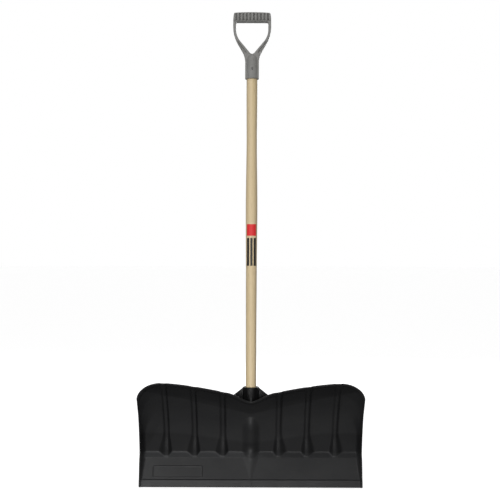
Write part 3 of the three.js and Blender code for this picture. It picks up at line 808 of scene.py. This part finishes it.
def make_screw(name, head_r, seat_y, z, out):
    """A pan-head screw along Y with a cross recess; out is -1 for a head that faces forward."""
    under = seat_y + out * PLAY
    profile = [(0.3, seat_y - out * SHANK_LENGTH), (0.9, seat_y - out * (SHANK_LENGTH - 1))]
    profile += [(SHANK_R, seat_y - out * (SHANK_LENGTH - 4)), (SHANK_R, under), (head_r - 0.3, under)]
    for k in range(9):
        turn = math.pi / 2 * k / 8
        radius = head_r * math.cos(turn) ** 0.7 if k < 8 else 0.4
        profile.append((radius, under + out * (0.4 + HEAD_DOME * math.sin(turn))))
    screw = cross_turned(name, profile, z)
    crown = 0.4 + HEAD_DOME
    low, high = sorted((under + out * (crown + 0.2), under + out * (crown - RECESS_DEPTH)))
    arm, half = RECESS_ARM * head_r, RECESS_HALF * head_r
    cross = [
        (arm, half), (half, half), (half, arm), (-half, arm), (-half, half), (-arm, half),
        (-arm, -half), (-half, -half), (-half, -arm), (half, -arm), (half, -half), (arm, -half),
    ]
    turn = math.radians(RECESS_TURN)
    outline = [
        (a * math.cos(turn) - b * math.sin(turn), z + a * math.sin(turn) + b * math.cos(turn))
        for a, b in cross
    ]
    combine(screw, [prism("recess", outline, low, high, "y")], "DIFFERENCE")
    shade(screw, 30)
    return screw


# ------------------------------------------------------------------ material helpers


class Nodes:
    """A small helper for building a node material around one Principled shader."""

    def __init__(self, name):
        self.material = bpy.data.materials.new(name)
        self.material.use_nodes = True
        self.tree = self.material.node_tree
        self.shader = self.tree.nodes["Principled BSDF"]
        self.coordinates = self.add("ShaderNodeTexCoord").outputs["Object"]

    def add(self, kind, **values):
        node = self.tree.nodes.new(kind)
        for key, value in values.items():
            setattr(node, key, value)
        return node

    def link(self, source, target):
        self.tree.links.new(source, target)

    def scaled(self, scale, source=None):
        node = self.add("ShaderNodeMapping")
        node.inputs["Scale"].default_value = scale
        self.link(source or self.coordinates, node.inputs["Vector"])
        return node.outputs["Vector"]

    def noise(self, scale, detail=3.0, roughness=0.5, stretch=(1, 1, 1), distortion=0.0):
        node = self.add("ShaderNodeTexNoise")
        node.inputs["Scale"].default_value = scale
        node.inputs["Detail"].default_value = detail
        node.inputs["Roughness"].default_value = roughness
        node.inputs["Distortion"].default_value = distortion
        self.link(self.scaled(stretch), node.inputs["Vector"])
        return node.outputs["Fac"]

    def ramp(self, source, stops):
        node = self.add("ShaderNodeValToRGB")
        elements = node.color_ramp.elements
        while len(elements) < len(stops):
            elements.new(0.5)
        for element, (position, colour) in zip(elements, stops):
            element.position = position
            element.color = (*colour, 1.0) if len(colour) == 3 else colour
        self.link(source, node.inputs["Fac"])
        return node.outputs["Color"]

    def grey(self, source, low, high, from_low=0.0, from_high=1.0):
        node = self.add("ShaderNodeMapRange")
        node.inputs["From Min"].default_value = from_low
        node.inputs["From Max"].default_value = from_high
        node.inputs["To Min"].default_value = low
        node.inputs["To Max"].default_value = high
        self.link(source, node.inputs["Value"])
        return node.outputs["Result"]

    def maths(self, operation, a, b=None, c=None):
        node = self.add("ShaderNodeMath", operation=operation)
        for socket, value in zip(node.inputs, (a, b, c)):
            if value is None:
                continue
            if isinstance(value, (int, float)):
                socket.default_value = value
            else:
                self.link(value, socket)
        return node.outputs["Value"]

    def blend(self, share, a, b, kind="MIX"):
        node = self.add("ShaderNodeMix", data_type="RGBA", blend_type=kind)
        # A Mix node has inputs for every data type: 0 is the factor, 6 and 7 are the two colours.
        for index, value in ((0, share), (6, a), (7, b)):
            socket = node.inputs[index]
            if isinstance(value, (int, float)):
                socket.default_value = value
            elif isinstance(value, tuple):
                socket.default_value = (*value, 1.0)
            else:
                self.link(value, socket)
        return node.outputs[2]

    def times(self, first, *others):
        """The product of several values."""
        for other in others:
            first = self.maths("MULTIPLY", first, other)
        return first

    def bump(self, height, distance, strength=1.0, under=None):
        node = self.add("ShaderNodeBump")
        node.inputs["Distance"].default_value = distance
        node.inputs["Strength"].default_value = strength
        self.link(height, node.inputs["Height"])
        if under is not None:
            self.link(under, node.inputs["Normal"])
        return node.outputs["Normal"]

    def set(self, **values):
        for name, value in values.items():
            socket = self.shader.inputs[name.replace("_", " ")]
            if isinstance(value, (int, float, tuple)):
                socket.default_value = value
            else:
                self.link(value, socket)


def give(obj, material):
    obj.data.materials.clear()
    obj.data.materials.append(material)
    for polygon in obj.data.polygons:
        polygon.material_index = 0


# ------------------------------------------------------------------ the materials

# The first two colours paint shade and shadow on the black plastic, the third paints a highlight, and
# the fourth is scuffing.
PAINTED_SHADE_BLACK = (0.006, 0.006, 0.0065)
SOCKET_SHADOW_BLACK = (0.004, 0.004, 0.0045)
PAINTED_HIGHLIGHT_GREY = (0.055, 0.056, 0.058)
SCUFF_GREY = (0.06, 0.061, 0.063)
# Where the painted shade, shadow and highlight on the black plastic begin and end, in metres.
LINE_SOFT = 0.002
ARCH_Z = (0.118, 0.144)  # the arched line's height at ARCH_X from the middle
ARCH_X = (0.02, 0.2)
RIM_LINE_Z = 0.2
RIM_LINE_SLOPE = 0.245
SOCKET_FRONT_Y = (AXIS_Y - 0.034, AXIS_Y - 0.03)
SOCKET_FROM_Z = (0.222, 0.228)
LEDGE_FROM_Z = (0.0735, 0.0765)
LEDGE_TO_Z = (0.0895, 0.0915)
LEDGE_FRONT = (-0.0032, -0.0012)  # forward of the sheet
LIP_TO_Z = (0.0185, 0.0195)


def black_poly():
    """Satin black moulded polyethylene: pebbled skin, light scuffs low down, painted shade and shadow
    higher up, and a painted highlight on the ledge and lip.
    """
    n = Nodes("black_poly")
    cloud = n.noise(9.0, detail=4, stretch=(1, 1, 1.6))
    base = n.ramp(cloud, [(0.3, (0.0165, 0.0167, 0.0175)), (0.72, (0.0225, 0.0227, 0.0233))])
    scratches = n.noise(60.0, detail=2, roughness=0.6, stretch=(6.0, 6.0, 0.25), distortion=0.3)
    scuff = n.grey(scratches, 0.0, 1.0, 0.66, 0.76)
    parts = n.add("ShaderNodeSeparateXYZ")
    n.link(n.coordinates, parts.inputs[0])
    place = parts.outputs
    near_edge = n.grey(place["Z"], 1.0, 0.0, 0.0, 0.085)
    # painted shade: the panels darkened in a band above the crease
    base = n.blend(n.times(arch_shade_mask(n, place), 0.45), base, PAINTED_SHADE_BLACK)
    # painted shade: the band under the rim darkened
    base = n.blend(n.times(rim_shade_mask(n, place), 0.4), base, PAINTED_SHADE_BLACK)
    # painted shadow: the socket's front, wings and web made nearly black
    base = n.blend(socket_shadow_mask(n, place), base, SOCKET_SHADOW_BLACK)
    # painted highlight: the ledge lightened, more at its left end
    highlight_left = n.grey(place["X"], 1.0, 0.25, -0.04, 0.04)
    base = n.blend(n.times(highlight_left, 0.5, ledge_highlight_mask(n, place)), base, PAINTED_HIGHLIGHT_GREY)
    # painted highlight: the lip lightened, most at its left end
    base = n.blend(lip_highlight(n, place), base, PAINTED_HIGHLIGHT_GREY)
    n.set(Base_Color=n.blend(n.times(scuff, near_edge, 0.3), base, SCUFF_GREY))
    rough = n.grey(n.noise(24.0, detail=5), 0.36, 0.48, 0.3, 0.7)
    n.set(Roughness=rough, Specular_IOR_Level=0.22)
    pebble = n.noise(1400.0, detail=2, roughness=0.6)
    skin = n.bump(pebble, 0.00004, 0.5)
    waves = n.noise(38.0, detail=1)
    n.set(Normal=n.bump(waves, 0.0006, 0.25, under=skin))
    return n.material


def arch_shade_mask(n, place):
    """1 on the band of painted shade on the panels, between the crease and an arched line above it."""
    across = n.maths("ABSOLUTE", place["X"])
    arch = n.grey(across, *ARCH_Z, *ARCH_X)
    above = n.maths("SUBTRACT", place["Z"], arch)
    under_arch = n.grey(above, 1.0, 0.0, -2 * LINE_SOFT, 2 * LINE_SOFT)
    crease = CREASE_Z * MM
    return n.times(under_arch, n.grey(place["Z"], 0.0, 1.0, crease - LINE_SOFT, crease + LINE_SOFT))


def rim_shade_mask(n, place):
    """1 on the band of painted shade along the rim, above a line that rises from the middle to the
    shoulders.
    """
    line = n.maths("MULTIPLY_ADD", n.maths("ABSOLUTE", place["X"]), RIM_LINE_SLOPE, RIM_LINE_Z)
    return n.grey(n.maths("SUBTRACT", place["Z"], line), 0.0, 1.0, -LINE_SOFT, LINE_SOFT)


def socket_shadow_mask(n, place):
    """1 on the front of the socket, its wings and its web, which stand up behind the rim's V and get a
    painted shadow.
    """
    behind = n.grey(place["Y"], 0.0, 1.0, *SOCKET_FRONT_Y)
    front = n.grey(place["Y"], 1.0, 0.0, AXIS_Y - LINE_SOFT, AXIS_Y + LINE_SOFT)
    return n.times(behind, front, n.grey(place["Z"], 0.0, 1.0, *SOCKET_FROM_Z))


def ledge_highlight_mask(n, place):
    """1 on the ledge under the panels, which gets a painted highlight, and 0 on the ribs' feet, which
    stand forward of it.
    """
    lower = n.maths("MULTIPLY_ADD", place["Z"], LOWER_LEAN, AXIS_Y + EDGE_Y * MM)
    above = n.maths("MAXIMUM", n.maths("SUBTRACT", place["Z"], LEDGE_Z * MM), 0.0)
    sheet = n.maths("ADD", lower, n.times(above, LEDGE_LEAN - LOWER_LEAN))
    on_sheet = n.grey(n.maths("SUBTRACT", place["Y"], sheet), 0.0, 1.0, *LEDGE_FRONT)
    rise = n.grey(place["Z"], 0.0, 1.0, *LEDGE_FROM_Z)
    fall = n.grey(place["Z"], 1.0, 0.0, *LEDGE_TO_Z)
    return n.times(rise, fall, on_sheet)


def lip_highlight(n, place):
    """How much painted highlight the lip gets, most at its left end."""
    on_lip = n.grey(place["Z"], 1.0, 0.0, *LIP_TO_Z)
    return n.times(on_lip, n.grey(place["X"], 0.4, 0.0, -0.3, 0.02))


def ash_wood():
    """Turned ash under clear lacquer: long streaks, fine pores, and a plain printed marking."""
    n = Nodes("ash_wood")
    streak = n.noise(90.0, detail=5, roughness=0.6, stretch=(1.0, 1.0, 0.022), distortion=0.4)
    broad = n.noise(38.0, detail=3, roughness=0.5, stretch=(1.0, 1.0, 0.035), distortion=0.2)
    base = n.ramp(
        broad,
        [
            (0.25, (0.65, 0.50, 0.265)),
            (0.45, (0.79, 0.63, 0.36)),
            (0.6, (0.82, 0.66, 0.415)),
            (0.8, (0.71, 0.56, 0.315)),
        ],
    )
    fine = n.ramp(
        streak,
        [(0.3, (0.80, 0.76, 0.68)), (0.55, (1.0, 1.0, 1.0)), (0.75, (0.90, 0.86, 0.8))],
    )
    colour = n.blend(0.55, base, fine, "MULTIPLY")
    pores = n.noise(1500.0, detail=1, roughness=0.5, stretch=(1.0, 1.0, 0.03))
    dark = n.grey(pores, 0.0, 1.0, 0.63, 0.72)
    colour = n.blend(n.times(dark, 0.35), colour, (0.34, 0.235, 0.12))
    colour = printed_marking(n, colour)
    n.set(Base_Color=colour)
    n.set(Roughness=n.grey(streak, 0.42, 0.55), Coat_Weight=0.12, Coat_Roughness=0.28)
    n.set(Normal=n.bump(streak, 0.00012, 0.35, under=n.bump(pores, 0.00005, 0.4)))
    return n.material


RED_X = (-12.6, 12.6)
RED_Z = (690.0, 722.0)
BARS_X = ((-12.4, -6.2), (-3.1, 3.1), (6.2, 12.4))
BARS_Z = (607.0, 684.0)
PRINT_RED = (0.86, 0.019, 0.028)
PRINT_BLACK = (0.012, 0.012, 0.013)
PRINT_SOFT = 0.0004


def printed_marking(n, wood):
    """A plain red block over plain black bars, printed on the front of the handle."""
    parts = n.add("ShaderNodeSeparateXYZ")
    n.link(n.coordinates, parts.inputs[0])
    x, y, z = parts.outputs

    def band(value, low, high):
        rise = n.grey(value, 0.0, 1.0, low * MM - PRINT_SOFT, low * MM + PRINT_SOFT)
        fall = n.grey(value, 1.0, 0.0, high * MM - PRINT_SOFT, high * MM + PRINT_SOFT)
        return n.times(rise, fall)

    in_front = n.grey(y, 1.0, 0.0, AXIS_Y - 0.001, AXIS_Y + 0.001)
    red = n.times(band(x, *RED_X), band(z, *RED_Z), in_front)
    bars = band(x, *BARS_X[0])
    for low, high in BARS_X[1:]:
        bars = n.maths("MAXIMUM", bars, band(x, low, high))
    black = n.times(bars, band(z, *BARS_Z), in_front)
    worn = n.grey(n.noise(900.0, detail=2), 0.82, 1.0, 0.3, 0.45)
    printed = n.blend(n.times(red, worn), wood, PRINT_RED)
    return n.blend(n.times(black, worn), printed, PRINT_BLACK)


def grey_plastic():
    """Mid-grey moulded plastic with a fine spark-eroded texture and faint flow marks."""
    n = Nodes("grey_plastic")
    cloud = n.noise(30.0, detail=4, stretch=(1, 1, 0.6))
    base = n.ramp(cloud, [(0.3, (0.235, 0.233, 0.222)), (0.7, (0.281, 0.278, 0.266))])
    speck = n.noise(2200.0, detail=1)
    speckle = n.ramp(speck, [(0.35, (0.8, 0.8, 0.8)), (0.65, (1, 1, 1))])
    n.set(Base_Color=n.blend(0.12, base, speckle, "MULTIPLY"))
    n.set(Roughness=n.grey(cloud, 0.46, 0.6), Specular_IOR_Level=0.45)
    n.set(Normal=n.bump(n.noise(1600.0, detail=2), 0.00003, 0.35))
    return n.material


def dark_steel():
    """Phosphated steel: dark grey and finely mottled."""
    n = Nodes("dark_steel")
    mottle = n.noise(700.0, detail=3)
    colour = n.ramp(mottle, [(0.35, (0.2, 0.2, 0.203)), (0.7, (0.38, 0.375, 0.36))])
    n.set(Base_Color=colour, Metallic=1.0)
    n.set(Roughness=n.grey(mottle, 0.32, 0.5))
    n.set(Normal=n.bump(n.noise(2400.0, detail=2), 0.00003, 0.5))
    return n.material


# ------------------------------------------------------------------ assembly


def add_piece(obj, node, material):
    give(obj, material)
    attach(obj, BODY)
    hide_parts(node)


add_piece(make_blade(), "blade", black_poly())
add_piece(make_handle(), "handle", ash_wood())
add_piece(make_grip(), "d_grip", grey_plastic())
steel = dark_steel()
grip_screw = make_screw("grip_screw_visual", GRIP_HEAD_R, GRIP_SEAT_Y, GRIP_SCREW_Z, -1)
add_piece(grip_screw, "grip_screw", steel)
socket_screw = make_screw("socket_screw_visual", SOCKET_HEAD_R, BOSS_Y, SOCKET_SCREW_Z, 1)
add_piece(socket_screw, "socket_screw", steel)

# ------------------------------------------------------------------ stage, light and camera

FLOOR_RADIUS = 40.0


def make_floor():
    """A wide round pale floor. The object neither mirrors it nor is lit by it."""
    work = bmesh.new()
    bmesh.ops.create_circle(work, cap_ends=True, segments=96, radius=FLOOR_RADIUS)
    mesh = bpy.data.meshes.new("floor")
    work.to_mesh(mesh)
    work.free()
    floor = bpy.data.objects.new("floor", mesh)
    bpy.context.scene.collection.objects.link(floor)
    floor.visible_diffuse = False
    floor.visible_glossy = False
    n = Nodes("floor_paper")
    n.set(Base_Color=(0.8, 0.8, 0.8, 1.0), Roughness=0.9, Specular_IOR_Level=0.1)
    n.set(Emission_Color=(1.0, 1.0, 1.0, 1.0), Emission_Strength=0.72)
    give(floor, n.material)


# Each light's place, the point it faces, its width and height in metres, and its watts.
LIGHTS = {
    "key": ((-1.0, -2.4, 2.1), (0, 0, 0.1), (1.2, 0.5), 15),
    "top": ((-0.3, -1.0, 2.9), (0, 0, 0.2), (1.4, 0.8), 8),
    "low": ((-0.05, -1.1, 0.12), (0, -0.05, 0.15), (0.5, 0.3), 3.1),
    "side": ((-0.62, -0.95, 0.25), (-0.3, -0.04, 0.02), (0.3, 0.15), 1.4),
    "fill": ((-0.2, -4.2, 1.2), (0, 0, 1.0), (0.8, 1.8), 8),
    "behind": ((0.5, 3.0, 1.7), (0, 0, 0.5), (1.6, 1.2), 22),
}


def area_light(name, place, aim, size, power):
    light = bpy.data.lights.new(name, "AREA")
    light.shape = "RECTANGLE"
    light.size, light.size_y = size
    light.energy = power
    obj = bpy.data.objects.new(name, light)
    obj.location = place
    obj.rotation_mode = "QUATERNION"
    obj.rotation_quaternion = (Vector(aim) - Vector(place)).to_track_quat("-Z", "Y")
    obj.visible_camera = False
    bpy.context.scene.collection.objects.link(obj)


# Brightness of the surround, from straight down (0) over the horizon (0.5) to straight up (1).
SURROUND = ((0.0, 0.25), (0.40, 0.45), (0.48, 0.9), (0.62, 1.0), (0.74, 0.42), (1.0, 0.36))
SIDES = 0.22  # how much of it is left to the left and right
SIDES_FROM_TO = (0.3, 0.75)  # sideways part of the direction over which it dims


def make_world():
    """A studio surround. The camera sees plain white. The object is lit by a surround that is
    brightest about the horizon, and dimmer above, below and at the sides."""
    world = bpy.data.worlds.new("studio")
    world.use_nodes = True
    tree = world.node_tree

    def add(kind, **values):
        node = tree.nodes.new(kind)
        for key, value in values.items():
            setattr(node, key, value)
        return node

    coordinates = add("ShaderNodeTexCoord")
    parts = add("ShaderNodeSeparateXYZ")
    tree.links.new(coordinates.outputs["Generated"], parts.inputs[0])
    height = add("ShaderNodeMapRange")
    height.inputs["From Min"].default_value = -1.0
    tree.links.new(parts.outputs["Z"], height.inputs["Value"])
    ramp = add("ShaderNodeValToRGB")
    elements = ramp.color_ramp.elements
    while len(elements) < len(SURROUND):
        elements.new(0.5)
    for element, (position, value) in zip(elements, SURROUND):
        element.position = position
        element.color = (value, value, value, 1.0)
    tree.links.new(height.outputs["Result"], ramp.inputs["Fac"])
    sideways = add("ShaderNodeMath", operation="ABSOLUTE")
    tree.links.new(parts.outputs["X"], sideways.inputs[0])
    dimming = add("ShaderNodeMapRange", interpolation_type="SMOOTHSTEP")
    dimming.inputs["From Min"].default_value, dimming.inputs["From Max"].default_value = SIDES_FROM_TO
    dimming.inputs["To Min"].default_value = 1.0
    dimming.inputs["To Max"].default_value = SIDES
    tree.links.new(sideways.outputs["Value"], dimming.inputs["Value"])
    lighting = tree.nodes["Background"]
    tree.links.new(ramp.outputs["Color"], lighting.inputs["Color"])
    tree.links.new(dimming.outputs["Result"], lighting.inputs["Strength"])
    seen = add("ShaderNodeBackground")
    seen.inputs["Color"].default_value = (1.0, 1.0, 1.0, 1.0)
    choice = add("ShaderNodeMixShader")
    tree.links.new(add("ShaderNodeLightPath").outputs["Is Camera Ray"], choice.inputs["Fac"])
    tree.links.new(lighting.outputs["Background"], choice.inputs[1])
    tree.links.new(seen.outputs["Background"], choice.inputs[2])
    tree.links.new(choice.outputs["Shader"], tree.nodes["World Output"].inputs["Surface"])
    bpy.context.scene.world = world


CAMERA_AWAY = 3.0
CAMERA_X = -0.0039
CAMERA_Z = 0.6507
CAMERA_ROLL = -0.2  # degrees; the shovel leans by this much in the picture
LENS = 78.0
SENSOR = 36.0


def make_camera():
    """Level with the middle of the shovel and square to its front."""
    data = bpy.data.cameras.new("camera")
    data.sensor_width = SENSOR
    data.lens = LENS
    camera = bpy.data.objects.new("camera", data)
    camera.location = (CAMERA_X, AXIS_Y - CAMERA_AWAY, CAMERA_Z)
    camera.rotation_euler = (math.radians(90), math.radians(CAMERA_ROLL), 0)
    bpy.context.scene.collection.objects.link(camera)
    bpy.context.scene.camera = camera


make_floor()
make_world()
for light_name, settings in LIGHTS.items():
    area_light(light_name, *settings)
make_camera()
bpy.context.scene.view_settings.view_transform = "Standard"
